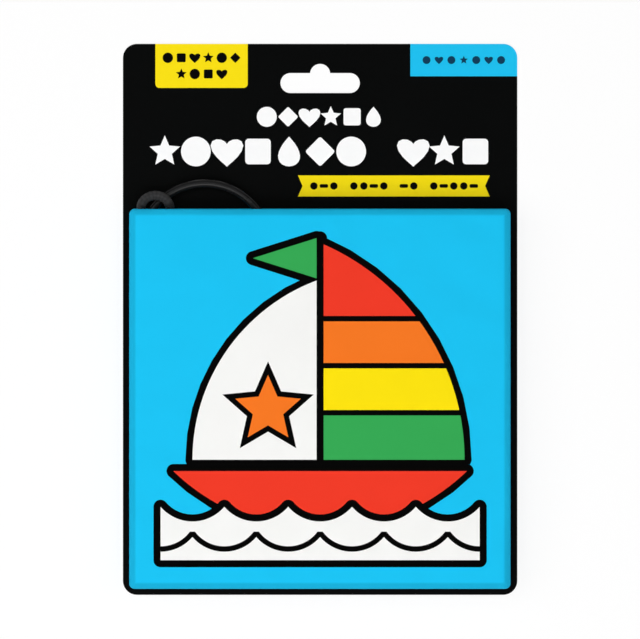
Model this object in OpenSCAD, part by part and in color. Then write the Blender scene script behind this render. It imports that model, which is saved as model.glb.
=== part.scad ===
// Soft cloth stroller book on its hanging card, lying on its back.
// The card's back is the plane z = 0, the front of the book looks up, and the
// card's hanging slot is towards +Y. The origin is the middle of the card's back.
// Every leaf is a sewn, filled cloth panel: thin at its seam and thick inside it.

/* [Hanging card] */
// Width of the card
card_w = 146; // [144:1:170]
// Height of the card
card_h = 204; // [202:1:240]
// Thickness of the board
card_t = 0.6; // [0.4:0.1:1.2]
// Radius of the card's corners
card_r = 5.2; // [2:0.2:8]
// Width of the hanging slot
slot_w = 29.4; // [26:0.2:34]
// Height of the slot's straight part
slot_h = 7.4; // [6:0.2:8]
// How far the straight part reaches over the notch's middle
slot_lift = 0.35; // [0:0.05:1]
// Radius of the round notch over the slot
slot_notch_r = 3.75; // [3:0.05:4]
// Board left over the notch
slot_edge = 7.4; // [6:0.2:9]

/* [Print on the card] */
// Thickness of one layer of ink
ink_t = 0.1; // [0.05:0.05:0.2]
// Width of the yellow corner label
label_w = 34.2; // [30:0.2:38]
// Height of the yellow corner label
label_h = 16.3; // [15:0.1:18]
// Distance from the card's left edge to that label
label_x = 12; // [8:0.5:14]
// Radius of the label's lower corners
label_r = 1.5; // [0.5:0.1:3]
// Size of the shapes on the yellow label
label_mark_h = 3.8; // [3:0.1:4.4]
// Distance between the middles of those shapes
label_mark_pitch = 5; // [4.6:0.1:5.4]
// Distance between that label's two rows
label_row_gap = 6; // [5:0.1:7]
// Width of the blue corner label
tab_w = 39.6; // [34:0.2:42]
// Height of the blue corner label
tab_h = 12; // [10:0.1:14]
// Size of the shapes on the blue label
tab_mark_h = 2.9; // [2:0.1:3.6]
// Distance between the middles of those shapes
tab_mark_pitch = 4.6; // [4:0.1:5]
// Distance from the card's top edge to the middle of the small upper row
small_title_drop = 27; // [26:0.5:30]
// Size of the shapes in that row
small_title_h = 7.4; // [5:0.1:7.7]
// Distance between the middles of those shapes
small_title_pitch = 7.9; // [7.8:0.1:9]
// Free height between the small row and the large one
title_gap = 3.65; // [2:0.05:5]
// Size of the shapes in the large row
large_title_h = 11; // [8:0.1:11.3]
// Distance between the middles of those shapes
large_title_pitch = 11.5; // [11.4:0.05:11.8]
// Free height between the large row and the banner
banner_gap = 3.35; // [2:0.05:5]
// Width of the swallow-tailed banner
banner_w = 71; // [60:0.5:76]
// Height of the banner
banner_h = 7.8; // [6:0.1:9]
// Depth of the notch in each end of the banner
banner_notch = 1.7; // [0:0.1:3]
// Distance from the card's right edge to the banner
banner_x = 10.2; // [6:0.2:14]
// Size of the shapes on the banner
banner_mark_h = 2.7; // [2:0.1:3]
// Distance between the middles of those shapes
banner_mark_pitch = 3.7; // [3.6:0.05:3.9]

/* [Book] */
// Width of the closed book
book_w = 141; // [130:1:141]
// Height of the closed book
book_h = 141; // [130:1:141]
// Board that shows under the book
book_edge = 2; // [1:0.1:5]
// Radius of the book's corners
book_r = 2; // [1:0.1:4]
// Thickness of one filled leaf
leaf_t = 3.8; // [3:0.1:5]
// Thickness of a leaf at its sewn edge
seam_t = 1.4; // [1:0.1:2]
// Width of the rounded band between the seam and the filling
puff_w = 3.6; // [2:0.1:6]
// Number of leaves between the covers
page_leaves = 2; // [1:1:4]
// How far the inner leaves stop short of the covers
page_inset = 1; // [0.5:0.1:2]
// Gap between two leaves that lie on each other
leaf_gap = 0.3; // [0.2:0.05:0.6]
// Thickness of the spine cloth
spine_t = 1.2; // [0.8:0.1:2]
// Diameter of the glue dots behind the book
glue_d = 14; // [8:1:20]
// Thickness of the glue dots
glue_t = 0.3; // [0.2:0.05:0.6]
// Distance from the book's edges to the middle of a glue dot
glue_inset = 24; // [14:1:34]

/* [Picture on the cover] */
// Blue left free round the picture
picture_margin = 8.5; // [6:0.5:14]
// Width of the outlines
outline_w = 2.6; // [1.8:0.1:3.4]
// Width of the lines inside the picture, such as those between the sail's stripes
inner_line_w = 2; // [1.2:0.1:2.8]

/* [Ring and loop] */
// Radius of the ring, to the middle of its bar
ring_r = 24.3; // [21:0.1:27]
// Diameter of the ring's bar
ring_d = 3.1; // [2.6:0.1:3.4]
// Direction in which the ring lies from the loop, in degrees
ring_lay = -39.5; // [-42:0.5:-34]
// How far the ring swings in the plane of the book, in degrees
ring_swing = 65; // [20:5:65]
// Angle of the ring that its gate takes, in degrees
gate_arc = 70; // [60:1:80]
// Radius of the ring's hinge boss
boss_r = 2.1; // [1.8:0.05:2.3]
// Thickness of the gate's tongue
tongue_t = 1.3; // [1:0.05:1.5]
// Diameter of the gate's pin
pin_d = 1.2; // [0.9:0.1:1.5]
// Length of the lap between the gate and the ring, in degrees
lap_arc = 7; // [5:0.5:10]
// Distance from the book's left edge to the middle of the loop
loop_x = 9.6; // [9.2:0.1:14]
// Half the width of the loop, to the middle of its cord
loop_r = 5.35; // [5:0.05:6]
// How far the middle of the cord stands out of the seam
loop_out = 4.8; // [4.6:0.1:6]
// Diameter of the loop's cord
loop_d = 3.55; // [3:0.05:3.6]
// Length of the cord's flat ends in the seam
tail_len = 4; // [3:0.5:7]
// Thickness of the flat ends
tail_t = 0.5; // [0.3:0.05:0.6]

/* [Hidden] */
$fn = 96;
SOFT_FN = 32;             // facets of a round corner on a soft leaf
SKIN = 0.02;              // thickness of the slices that a leaf is hulled from
fit = 0.05;               // clearance of the pin in the gate, each side
play = 0.12;              // clearance of the gate's tongue and lap
lap_gap = 0.3;            // clearance at the ends of the lap
sew_gap = 0.05;           // gap between cloth pieces that are sewn together
pocket_clear = 0.15;      // cloth left free over and under the ring
sweep_clear = 0.5;        // cloth left free round the ring
cord_clear = 0.5;         // gap between the ring and the cord over it
hinge_clear = 0.3;        // gap under the cover's turning edge
bar_past_eye = 0.7;       // how far past the loop's middle the ring's bar runs
over = 1;                 // how far a cutting shape stands proud

// Colours, as the photograph shows them
BOARD = "#060807";
SKY = "#17C3F3";
SUN = "#FDE105";
RED = "#F03924";
ORANGE = "#F77820";
GREEN = "#34A853";
WHITE = "#FFFFFF";
INK = "#020202";
NAVY = "#003A58";
CORD = "#2F2F31";
PLASTIC = "#161617";

// Heights of the stack, from the card's back
card_top = card_t;
back_z = card_top + glue_t;
back_mid = back_z + leaf_t / 2;
ring_z = back_z + leaf_t + leaf_gap / 2;
pages_z = back_z + leaf_t + leaf_gap;
pages_t = page_leaves * leaf_t;
front_z = pages_z + pages_t + leaf_gap;
front_mid = front_z + leaf_t / 2;
front_top = front_z + leaf_t;

// Places in the plane of the card
book_y = -card_h / 2 + book_edge + book_h / 2;
book_left = -book_w / 2;
book_top = book_y + book_h / 2;
eye = [book_left + loop_x, book_top];
ring_reach = ring_r - bar_past_eye;
header_top = card_h / 2;
slot_y = header_top - slot_edge - slot_notch_r;

// Rows of shapes in the header, stepped down from the card's top edge
small_title_y = header_top - small_title_drop;
large_title_y = small_title_y - small_title_h / 2 - title_gap - large_title_h / 2;
banner_y = large_title_y - large_title_h / 2 - banner_gap - banner_h / 2;

// Rounded rectangle about the origin
module rounded(w, h, r) {
    square([w - 2 * r, h], center = true);
    square([w, h - 2 * r], center = true);
    for (x = [-1, 1], y = [-1, 1])
        translate([x * (w / 2 - r), y * (h / 2 - r)]) circle(r = r);
}

// One filled leaf about the origin: [inset from the edge, half thickness] of its slices
function leaf_slices() = [
    [0, seam_t * 0.2],
    [seam_t * 0.25, seam_t / 2],
    [puff_w * 0.5, leaf_t * 0.43],
    [puff_w, leaf_t / 2]
];

module leaf(w, h) {
    hull()
        for (s = leaf_slices(), side = [-1, 1])
            translate([0, 0, side * (s[1] - SKIN / 2) - SKIN / 2])
                linear_extrude(SKIN)
                    rounded(w - 2 * s[0], h - 2 * s[0], max(book_r, 0.6), $fn = SOFT_FN);
}

// Half thickness of a leaf at a distance from its edge, read from the same slices
function leaf_half(inset) = lookup(inset, leaf_slices());

// A simple solid shape of a given height, used in place of words
module motif(kind, h) {
    if (kind == "dot") circle(d = h);
    if (kind == "box") rounded(h * 0.86, h * 0.86, h * 0.12);
    if (kind == "diamond") rotate(45) rounded(h * 0.72, h * 0.72, h * 0.08);
    if (kind == "star")
        polygon([for (i = [0:9]) let (r = i % 2 == 0 ? h * 0.54 : h * 0.25)
            [r * sin(i * 36), r * cos(i * 36)]]);
    if (kind == "heart")
        polygon([for (t = [0:15:345])
            h * [0.55 * pow(sin(t), 3), 0.45 * cos(t) - 0.17 * cos(2 * t) - 0.07 * cos(3 * t) + 0.03]]);
    if (kind == "drop")
        polygon([for (t = [0:15:345])
            h * [0.48 * sin(t) * sin(t / 2), 0.5 * cos(t)]]);
    if (kind == "dash") rounded(h * 1.15, h * 0.5, h * 0.2);
}

// A centred row of shapes; a blank leaves a gap
module motif_row(kinds, h, pitch) {
    for (i = [0:len(kinds) - 1])
        translate([(i - (len(kinds) - 1) / 2) * pitch, 0]) motif(kinds[i], h);
}

// Layer of ink on the card: 0 lies on the board, 1 on layer 0
module card_ink(layer) {
    translate([0, 0, card_top + layer * ink_t]) linear_extrude(ink_t) children();
}

// Outline of the card without its slot
module card_outline() {
    rounded(card_w, card_h, card_r);
}

module slot_outline() {
    translate([0, slot_y]) {
        circle(r = slot_notch_r);
        translate([0, slot_lift - slot_h / 2]) rounded(slot_w, slot_h, slot_h / 2 - 0.01);
    }
}

module hang_card() {
    color(BOARD)
        linear_extrude(card_t)
            difference() {
                card_outline();
                slot_outline();
            }
}

// Corner label: rounded at its lower corners, cut off by the card's top edge
module label_outline() {
    translate([-card_w / 2 + label_x + label_w / 2, header_top - label_h])
        intersection() {
            translate([0, label_h]) rounded(label_w, 2 * label_h, label_r);
            translate([-label_w / 2, 0]) square([label_w, label_h]);
        }
}

module banner_outline() {
    translate([card_w / 2 - banner_x - banner_w / 2, banner_y])
        polygon([
            [-banner_w / 2, -banner_h / 2], [banner_w / 2, -banner_h / 2],
            [banner_w / 2 - banner_notch, 0], [banner_w / 2, banner_h / 2],
            [-banner_w / 2, banner_h / 2], [-banner_w / 2 + banner_notch, 0]
        ]);
}

module card_print_yellow() {
    color(SUN)
        card_ink(0) {
            label_outline();
            banner_outline();
        }
}

// Corner tab that follows the card's own rounded corner
module card_print_blue() {
    color(SKY)
        card_ink(0)
            intersection() {
                card_outline();
                translate([card_w / 2 - tab_w, header_top - tab_h]) square([tab_w, tab_h]);
            }
}

module card_print_white() {
    large_kinds = ["star", "dot", "heart", "box", "drop", "diamond", "dot", "", "heart", "star", "box"];
    small_kinds = ["dot", "diamond", "heart", "star", "box", "drop"];
    color(WHITE)
        card_ink(0) {
            translate([0, small_title_y])
                motif_row(small_kinds, small_title_h, small_title_pitch);
            translate([0, large_title_y])
                motif_row(large_kinds, large_title_h, large_title_pitch);
        }
}

// Rows of small shapes on the yellow label and on the banner
module card_print_black() {
    label_mid = [-card_w / 2 + label_x + label_w / 2, header_top - label_h / 2];
    color(INK)
        card_ink(1) {
            translate(label_mid + [0, label_row_gap / 2])
                motif_row(["dot", "box", "heart", "star", "dot", "diamond"], label_mark_h, label_mark_pitch);
            translate(label_mid - [0, label_row_gap / 2])
                motif_row(["star", "dot", "box", "heart"], label_mark_h, label_mark_pitch);
            translate([card_w / 2 - banner_x - banner_w / 2, banner_y])
                motif_row(["dot", "dash", "dot", "", "dot", "dot", "dash", "dot", "", "dash", "dot",
                    "", "dot", "dash", "dot", "dot", "dash"], banner_mark_h, banner_mark_pitch);
        }
}

module card_print_navy() {
    color(NAVY)
        card_ink(1)
            translate([card_w / 2 - tab_w / 2, header_top - tab_h / 2])
                motif_row(["dot", "heart", "dot", "star", "dot", "heart", "dot"], tab_mark_h, tab_mark_pitch);
}

module glue_dots() {
    color("#E8E2D0")
        for (x = [-1, 1], y = [-1, 1])
            translate([x * (book_w / 2 - glue_inset), book_y + y * (book_h / 2 - glue_inset), card_top])
                cylinder(d = glue_d, h = glue_t);
}

// Middle of the ring after it has swung by an angle about the loop
function ring_at(swing) = eye + ring_reach * [cos(ring_lay + swing), sin(ring_lay + swing)];

// Space that the ring and its boss sweep between two heights
module ring_sweep(low, high) {
    steps = 8;
    for (i = [0:steps])
        translate([each ring_at(i * ring_swing / steps), low])
            cylinder(r = ring_r + boss_r + sweep_clear, h = high - low);
}

// Height at which the cloth under the ring is pressed down, and over it up
ring_floor = ring_z - ring_d / 2 - pocket_clear;
ring_roof = ring_z + ring_d / 2 + pocket_clear;

module loop_tails(grow) {
    for (side = [-1, 1])
        translate([eye[0] + side * loop_r, eye[1] - tail_len / 2, back_mid])
            cube([loop_d + 2 * grow, tail_len + grow, tail_t + 2 * grow], center = true);
}

module back_cover() {
    color(SKY)
        difference() {
            translate([0, book_y, back_mid]) leaf(book_w, book_h);
            ring_sweep(ring_floor, back_z + leaf_t + over);
            loop_tails(0);
        }
}

// The inner leaves, sewn together at the spine, pressed in where the ring lies
module pages() {
    page_left = book_left + spine_t + sew_gap;
    page_w = book_w / 2 - page_inset - page_left;
    page_h = book_h - 2 * page_inset;
    color(WHITE)
        difference() {
            translate([page_left + page_w / 2, book_y, pages_z + leaf_t / 2]) {
                for (i = [0:page_leaves - 1])
                    translate([0, 0, leaf_t * i]) leaf(page_w, page_h);
                // Where the filled middles of two leaves press on each other
                if (page_leaves > 1)
                    linear_extrude(pages_t - leaf_t)
                        rounded(page_w - 2 * puff_w - 1, page_h - 2 * puff_w - 1, book_r);
            }
            ring_sweep(pages_z - over, ring_roof);
        }
}

// Upright strip of cloth that closes the book on its left
module spine() {
    low = back_mid + leaf_half(spine_t) + sew_gap;
    high = front_mid - leaf_half(spine_t) - hinge_clear;
    color(SKY)
        translate([book_left + spine_t / 2, book_y + book_h / 2 - book_r, 0])
            rotate([90, 0, 0])
                linear_extrude(book_h - 2 * book_r) {
                    translate([-spine_t / 2, low + spine_t / 2]) square([spine_t, high - low - spine_t]);
                    for (z = [low, high - spine_t])
                        translate([0, z + spine_t / 2]) circle(d = spine_t);
                }
}

// Middle of the cord at an angle of the loop: it leaves the seam flat, climbs over
// the ring and comes down to the seam again
loop_rise = ring_z + ring_d / 2 + cord_clear + loop_d / 2 - back_mid;
loop_steepness = 30;
function loop_point(t) = [
    eye[0] + loop_r * cos(t),
    eye[1] + loop_out * sin(t),
    back_mid + loop_rise * (1 - pow(cos(t), loop_steepness))
];
function unit(v) = v / norm(v);

// Corners of one ring of the tube round a path point
function tube_ring(p, ahead, sides) =
    let (side = unit(cross(ahead, [0, 0, 1])), up = cross(side, ahead))
    [for (k = [0:sides - 1]) p + loop_d / 2 * (cos(k * 360 / sides) * side + sin(k * 360 / sides) * up)];

module ring_loop() {
    sides = 12;
    step = 6;
    // The path leaves both ends straight along Y, so that they meet the seam flat
    ends = [for (t = [0:step:180]) loop_point(t)];
    count = len(ends);
    rings = [for (i = [0:count - 1])
        let (ahead = i == 0 ? [0, 1, 0] : i == count - 1 ? [0, -1, 0] : unit(ends[i + 1] - ends[i - 1]))
        tube_ring(ends[i], ahead, sides)];
    points = [for (ring = rings, p = ring) p];
    sides_faces = [for (i = [0:count - 2], k = [0:sides - 1])
        let (a = i * sides + k, b = i * sides + (k + 1) % sides)
        [a, b, b + sides, a + sides]];
    color(CORD) {
        polyhedron(
            points,
            concat(sides_faces, [[for (k = [sides - 1:-1:0]) k], [for (k = [0:sides - 1]) (count - 1) * sides + k]]),
            convexity = 4
        );
        loop_tails(0);
    }
}

// Front cover: a leaf whose left edge turns about its own middle
module front_cover() {
    color(SKY) translate([0, book_y, front_mid]) leaf(book_w, book_h);
}

// The picture is drawn 100 units high and wide about the cover's middle
picture_unit = (min(book_w, book_h) - 2 * picture_margin) / 100;
line = outline_w / picture_unit;
inner_line = inner_line_w / picture_unit;

module picture_ink(layer) {
    translate([0, book_y, front_top + layer * ink_t])
        linear_extrude(ink_t)
            scale(picture_unit) children();
}

// A sail between the mast and a round edge, cut off level at its foot
foot_y = -18;
module sail(side, reach, belly) {
    near = line / 2;
    intersection() {
        translate([side * (reach - belly), foot_y]) circle(r = belly);
        translate([side > 0 ? near : -100 - near, foot_y]) square(100);
    }
}
module main_sail() { sail(1, 43, 70); }
module fore_sail() { sail(-1, 38, 57); }

// Stripe of the main sail, counted from its foot
stripe_edges = [foot_y, -4, 10, 24, 60];
module sail_stripe(i) {
    low = stripe_edges[i] + (i == 0 ? 0 : inner_line / 2);
    high = stripe_edges[i + 1] - inner_line / 2;
    intersection() {
        main_sail();
        translate([0, low]) square([100, high - low]);
    }
}

module boat() {
    deck_y = foot_y - 1.6 * line;
    intersection() {
        translate([0, 24]) circle(r = 63);
        translate([-50, -50]) square([100, 50 + deck_y]);
    }
}

// Water with a row of pointed crests at a height, on a flat foot
water_low = -50 + line;
module water(crest_y, shift) {
    crest_r = 12.5;
    pitch = 19;
    half_w = 2.5 * pitch;
    dip = sqrt(crest_r * crest_r - pitch * pitch / 4);
    difference() {
        translate([-half_w, water_low]) square([2 * half_w, crest_y - water_low]);
        for (i = [-3:3])
            translate([i * pitch + shift * pitch, crest_y + dip]) circle(r = crest_r);
    }
}
module near_water() { water(-41, 0.5); }
module far_water() { water(-32, 0); }

module pennant() {
    polygon([[-line / 2, 48], [-line / 2, 36], [-20, 42]]);
}

module mast() {
    translate([-line / 2, foot_y - line]) square([line, 50 - foot_y]);
    translate([0, 50 - line]) circle(r = line);
}

module star_on_sail() {
    translate([-15.5, -3]) motif("star", 19);
}

module cover_print_black() {
    color(INK)
        picture_ink(0) {
            mast();
            offset(r = line, $fn = 48) {
                main_sail();
                fore_sail();
                boat();
                far_water();
                pennant();
            }
        }
}

module cover_print_red() {
    color(RED)
        picture_ink(1) {
            difference() {
                boat();
                offset(r = line, $fn = 48) far_water();
            }
            sail_stripe(3);
        }
}

module cover_print_orange() {
    color(ORANGE)
        picture_ink(1) {
            sail_stripe(2);
            star_on_sail();
        }
}

module cover_print_yellow() {
    color(SUN) picture_ink(1) sail_stripe(1);
}

module cover_print_green() {
    color(GREEN)
        picture_ink(1) {
            sail_stripe(0);
            pennant();
        }
}

module cover_print_white() {
    color(WHITE)
        picture_ink(1) {
            near_water();
            difference() {
                far_water();
                offset(delta = inner_line) near_water();
            }
            difference() {
                fore_sail();
                offset(delta = inner_line) star_on_sail();
            }
        }
}

// Ring, drawn about its own middle with the loop on its far left and the gate opposite
gate_from = -gate_arc / 2;
gate_to = gate_arc / 2;
module place_ring() {
    translate([each ring_at(0), ring_z]) rotate(ring_lay) children();
}

module ring_bar(from, to) {
    rotate(from) rotate_extrude(angle = to - from) translate([ring_r, 0]) circle(d = ring_d);
}

// Plane of the gate's end, square to the line from its pin, and of its lap's start
tip_y = ring_r * sin(gate_to);
lap_y = ring_r * sin(gate_to - lap_arc);

// Cut through the bar beside the gate: all of it up to the lap, and its inner part up to the tip
module lap_inside(r) {
    translate([0, 0, -ring_d])
        linear_extrude(2 * ring_d) {
            square([2 * ring_r, lap_y]);
            intersection() {
                square([2 * ring_r, tip_y]);
                circle(r = r);
            }
        }
}

// The opposite cut: all of the bar past the tip, and its outer part past the lap
module lap_outside(r) {
    translate([0, 0, -ring_d])
        linear_extrude(2 * ring_d)
            difference() {
                translate([0, lap_y - lap_gap]) square([2 * ring_r, ring_r]);
                intersection() {
                    square([2 * ring_r, tip_y - lap_gap]);
                    circle(r = r);
                }
            }
}

module boss(r, t) {
    rotate(gate_from) translate([ring_r, 0, -t / 2]) cylinder(r = r, h = t);
}

module ring_body() {
    color(PLASTIC)
        place_ring()
            difference() {
                union() {
                    ring_bar(gate_to - 2 * lap_arc, 360 + gate_from);
                    boss(boss_r, ring_d);
                }
                // The lap keeps the outer half of the bar
                lap_inside(ring_r + play / 2);
                // Slot for the gate's tongue
                boss(boss_r + over, tongue_t + 2 * play);
                boss(pin_d / 2, ring_d + over);
            }
}

module gate_pin() {
    color("#9A9CA0") place_ring() boss(pin_d / 2, ring_d);
}

module ring_gate() {
    color(PLASTIC)
        place_ring()
            difference() {
                union() {
                    difference() {
                        ring_bar(gate_from, gate_to + lap_arc);
                        // Only the tongue is left over and under the ring's boss
                        for (side = [-1, 1])
                            translate([0, 0, side * (tongue_t + ring_d) / 2]) boss(boss_r + play, ring_d);
                        // The lap keeps the inner half of the bar
                        lap_outside(ring_r - play / 2);
                    }
                    boss(boss_r - play, tongue_t);
                }
                boss(pin_d / 2 + fit, ring_d + over);
            }
}

hang_card();
card_print_yellow();
card_print_blue();
card_print_white();
card_print_black();
card_print_navy();
glue_dots();
back_cover();
pages();
spine();
ring_loop();
front_cover();
cover_print_black();
cover_print_red();
cover_print_orange();
cover_print_yellow();
cover_print_green();
cover_print_white();
ring_body();
gate_pin();
ring_gate();
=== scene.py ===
"""Looks of a soft cloth book on its hanging card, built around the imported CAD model.

Sizes are written in millimetres and become metres where a mesh is made. The card's back is the plane
z = 0, the front of the book looks up, and the card's hanging slot is towards +Y.
"""

import logging
import math
from dataclasses import dataclass
from enum import Enum

import bmesh
import bpy
import numpy as np
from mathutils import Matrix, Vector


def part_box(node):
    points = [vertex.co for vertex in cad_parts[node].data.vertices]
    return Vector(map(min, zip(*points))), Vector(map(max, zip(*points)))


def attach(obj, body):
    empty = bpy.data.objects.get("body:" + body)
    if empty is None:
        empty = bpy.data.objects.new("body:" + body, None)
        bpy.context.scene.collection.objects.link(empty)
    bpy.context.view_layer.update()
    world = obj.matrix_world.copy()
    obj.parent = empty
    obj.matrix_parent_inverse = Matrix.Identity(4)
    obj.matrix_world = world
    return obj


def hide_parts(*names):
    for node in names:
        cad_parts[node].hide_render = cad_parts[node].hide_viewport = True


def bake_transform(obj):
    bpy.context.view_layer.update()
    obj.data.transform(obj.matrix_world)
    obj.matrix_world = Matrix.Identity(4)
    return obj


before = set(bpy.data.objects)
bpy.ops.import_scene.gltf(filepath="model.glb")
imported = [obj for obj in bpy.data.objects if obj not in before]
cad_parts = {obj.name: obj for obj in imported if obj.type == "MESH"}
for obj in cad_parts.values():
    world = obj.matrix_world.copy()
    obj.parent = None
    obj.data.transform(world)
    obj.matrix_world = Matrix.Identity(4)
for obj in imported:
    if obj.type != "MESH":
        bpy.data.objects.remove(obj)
log = logging.getLogger("cloth_book")

Colour = tuple[float, float, float, float]

MM = 0.001
TURN = 2 * math.pi
WEAVE = "weave"
INSET = "inset"
# Mark of how deep a point lies between the cord's strands, read for painted shade there.
DIP_SHADE = "dip"
BLACK: Colour = (0.0, 0.0, 0.0, 1.0)
LOOP_EYE = (-60.9, 41.0)
# Width of the band of painted shade inside each leaf's seam, in millimetres.
PAINTED_SHADE_BAND = 2.4


class Body(Enum):
    """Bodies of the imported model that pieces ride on."""

    BOOK = "card_and_book"
    COVER = "cover"
    RING = "ring"
    GATE = "gate"


class Hue(Enum):
    """Colours of the prints, cloths and moulded parts, as sRGB codes."""

    BOARD = "#030404"
    BOARD_CORE = "#B9B6AE"
    SKY = "#17C3F3"
    SUN = "#FDE305"
    RED = "#F03924"
    ORANGE = "#F77820"
    GREEN = "#34A853"
    WHITE = "#F6F6F4"
    PAPER_WHITE = "#FFFFFF"
    INK = "#020202"
    NAVY = "#003A58"
    CORD = "#353536"
    CORD_DARK = "#242425"
    PLASTIC = "#131314"
    STEEL = "#C4C6CA"
    GLUE = "#E8E2D0"
    THREAD = "#1FA9D3"

    def linear(self) -> Colour:
        """The colour as linear red, green, blue and an alpha of 1."""
        parts = [int(self.value[i : i + 2], 16) / 255 for i in (1, 3, 5)]
        shades = [p / 12.92 if p <= 0.04045 else ((p + 0.055) / 1.055) ** 2.4 for p in parts]
        return shades[0], shades[1], shades[2], 1.0


COVER_INKS = {
    "black": Hue.INK,
    "red": Hue.RED,
    "orange": Hue.ORANGE,
    "yellow": Hue.SUN,
    "green": Hue.GREEN,
    "white": Hue.WHITE,
}
CARD_INKS = {
    "yellow": Hue.SUN,
    "blue": Hue.SKY,
    "white": Hue.PAPER_WHITE,
    "black": Hue.INK,
    "navy": Hue.NAVY,
}


class Value:
    """One output of a material's node. Sums on it are written as Python and add Math nodes."""

    def __init__(self, recipe: "Recipe", link: bpy.types.NodeSocket) -> None:
        """Args: recipe is the material being built, and link is the output socket."""
        self.recipe = recipe
        self.link = link

    def _math(self, operation: str, first: "Value | float", second: "Value | float" = 0.0) -> "Value":
        """Adds one Math node and returns its result."""
        return self.recipe.node("ShaderNodeMath", {"operation": operation}, {0: first, 1: second})

    def __add__(self, other: "Value | float") -> "Value":
        """Sum."""
        return self._math("ADD", self, other)

    __radd__ = __add__

    def __sub__(self, other: "Value | float") -> "Value":
        """Difference."""
        return self._math("SUBTRACT", self, other)

    def __rsub__(self, other: "Value | float") -> "Value":
        """Difference from a number."""
        return self._math("SUBTRACT", other, self)

    def __mul__(self, other: "Value | float") -> "Value":
        """Product."""
        return self._math("MULTIPLY", self, other)

    __rmul__ = __mul__

    def sine(self) -> "Value":
        """Sine of an angle in radians."""
        return self._math("SINE", self)

    def size(self) -> "Value":
        """Absolute value."""
        return self._math("ABSOLUTE", self)

    def step(self, low: float, high: float) -> "Value":
        """Eases from 0 at low to 1 at high."""
        limits = {"Value": self, "From Min": low, "From Max": high}
        return self.recipe.node("ShaderNodeMapRange", {"interpolation_type": "SMOOTHSTEP"}, limits)


class Recipe:
    """The node tree of one material or world, from its first coordinate to its surface."""

    def __init__(self, owner: bpy.types.Material | bpy.types.World) -> None:
        """Args: owner is the new material or world."""
        owner.use_nodes = True
        self.owner = owner
        self.tree = owner.node_tree
        self.tree.nodes.clear()

    def node(
        self, kind: str, settings: dict | None = None, inputs: dict | None = None, output: int | str = 0
    ) -> Value:
        """Adds any node.

        Args:
            kind: The node's type.
            settings: Its own settings, set first; "stops" are a ramp's positions and colours.
            inputs: Values or links of its sockets, by name or number.
            output: The socket that is returned.

        Returns:
            That output as a Value.
        """
        made = self.tree.nodes.new(kind)
        for key, value in (settings or {}).items():
            if key == "stops":
                elements = made.color_ramp.elements
                while len(elements) < len(value):
                    elements.new(0.5)
                for element, (position, colour) in zip(elements, value):
                    element.position = position
                    element.color = colour
            else:
                setattr(made, key, value)
        for key, value in (inputs or {}).items():
            if isinstance(value, Value):
                self.tree.links.new(value.link, made.inputs[key])
            else:
                made.inputs[key].default_value = value
        return Value(self, made.outputs[output])

    def mix(self, factor: Value | float, first: Value | Colour, second: Value | Colour) -> Value:
        """Colour between two colours."""
        return self.node("ShaderNodeMix", {"data_type": "RGBA"}, {0: factor, 6: first, 7: second}, 2)

    def place(self) -> Value:
        """Object coordinates, in metres."""
        return self.node("ShaderNodeTexCoord", output="Object")

    def mark(self, name: str, output: str = "Fac") -> Value:
        """What the mesh carries at each point under a name, as a number or a vector."""
        return self.node("ShaderNodeAttribute", {"attribute_name": name}, output=output)

    def axis(self, vector: Value, name: str) -> Value:
        """One of X, Y and Z of a vector."""
        return self.node("ShaderNodeSeparateXYZ", inputs={0: vector}, output=name)

    def noise(self, vector: Value, size: float, detail: float = 3.0) -> Value:
        """Smooth noise from 0 to 1 whose lumps are about size millimetres."""
        wanted = {"Vector": vector, "Scale": 1 / (size * MM), "Detail": detail}
        return self.node("ShaderNodeTexNoise", inputs=wanted)

    def surface(
        self,
        colour: Value,
        roughness: Value,
        relief: Value,
        depth: float,
        gloss: float = 0.5,
        metal: float = 0.0,
    ) -> bpy.types.Material:
        """Ends the tree with a Principled shader.

        Args:
            colour: Its base colour.
            roughness: Its roughness.
            relief: Height of its bump, from 0 to 1.
            depth: What a height of 1 stands for, in millimetres.
            gloss: Its specular level.
            metal: 1 for bare metal.

        Returns:
            The material.
        """
        normal = self.node("ShaderNodeBump", inputs={"Height": relief, "Distance": depth * MM})
        sockets = {"Base Color": colour, "Roughness": roughness, "Normal": normal}
        sockets |= {"Specular IOR Level": gloss, "Metallic": metal}
        self.end(self.node("ShaderNodeBsdfPrincipled", inputs=sockets))
        return self.owner

    def end(self, shader: Value, kind: str = "ShaderNodeOutputMaterial") -> None:
        """Joins a shader to the tree's output."""
        output = self.tree.nodes.new(kind)
        self.tree.links.new(shader.link, output.inputs["Surface"])


@dataclass(frozen=True)
class Finish:
    """What every finish has: its material's name."""

    name: str

    def recipe(self) -> Recipe:
        """The empty node tree of a new material."""
        return Recipe(bpy.data.materials.new(self.name))


@dataclass(frozen=True)
class WovenCloth(Finish):
    """Fine plain-woven polyester, dyed or printed."""

    hue: Hue
    thread: float = 0.2
    relief: float = 0.012
    gloss: float = 0.1
    # Width and depth of the painted shade in a band inside the seam; a width of 0 paints none.
    painted_shade_band: float = 0.0
    painted_shade_depth: float = 0.22

    def material(self) -> bpy.types.Material:
        """Threads of both directions as a product of sines along the cloth, with slubs and faint mottling.

        Within a band inside the seam the colour is painted darker: painted shade of the rounded edge turning
        away from the light.
        """
        r = self.recipe()
        cloth = r.mark(WEAVE, "Vector")
        pitch = math.pi / (self.thread * MM)
        over = (r.axis(cloth, "X") * pitch).sine() * (r.axis(cloth, "Y") * pitch).sine()
        slub = r.noise(cloth, 0.9)
        mottle = r.noise(cloth, 14.0, 2.0)
        tone = r.mix(0.965 + 0.03 * over.size() + 0.03 * mottle, BLACK, self.hue.linear())
        # Painted shade: the colour is darkened in a band inside the seam.
        if self.painted_shade_band:
            painted_shade = 1.0 - r.mark(INSET).step(self.painted_shade_band - 0.7, self.painted_shade_band + 0.4)
            tone = r.mix(self.painted_shade_depth * painted_shade, tone, BLACK)
        return r.surface(tone, 0.78 + 0.12 * slub, 0.5 + 0.35 * over + 0.6 * slub, self.relief, self.gloss)


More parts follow.
